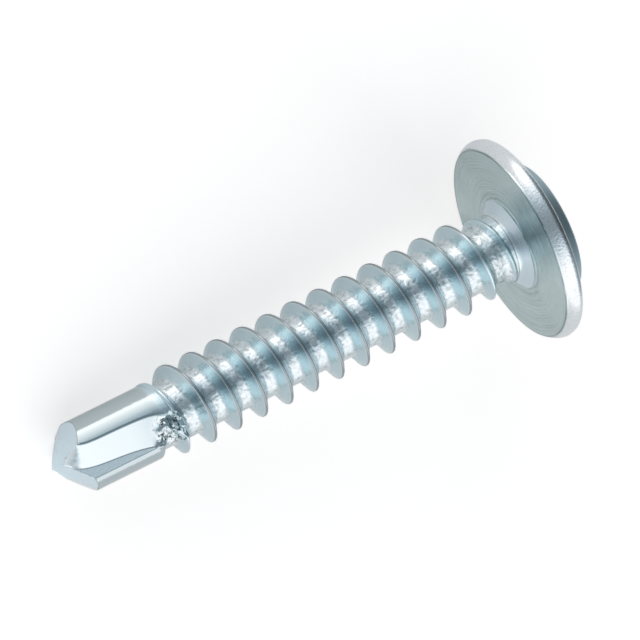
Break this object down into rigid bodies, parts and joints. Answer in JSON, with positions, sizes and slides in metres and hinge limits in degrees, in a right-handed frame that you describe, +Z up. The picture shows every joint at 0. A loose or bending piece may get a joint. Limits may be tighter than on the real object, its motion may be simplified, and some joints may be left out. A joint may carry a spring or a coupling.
{
  "type": "self drilling screw",
  "caption": "Self drilling screw with a wide wafer head, a cross recess, a coarse right-hand tapping thread and a two-flute drill point, lying on its rim and point.",
  "frame": {"origin": "centre of the bounding box, on the surface that the screw lies on", "axes": "+X runs from the drill point to the head along the floor, the screw's own axis rising about eight degrees to the head; +Y is level across it; +Z is up"},
  "size_m": [0.0272, 0.01, 0.0099],
  "materials": {
    "zinc": "bright zinc plate, slightly blue"
  },
  "bodies": {
    "root": {"screw": "zinc"}
  },
  "joints": []
}
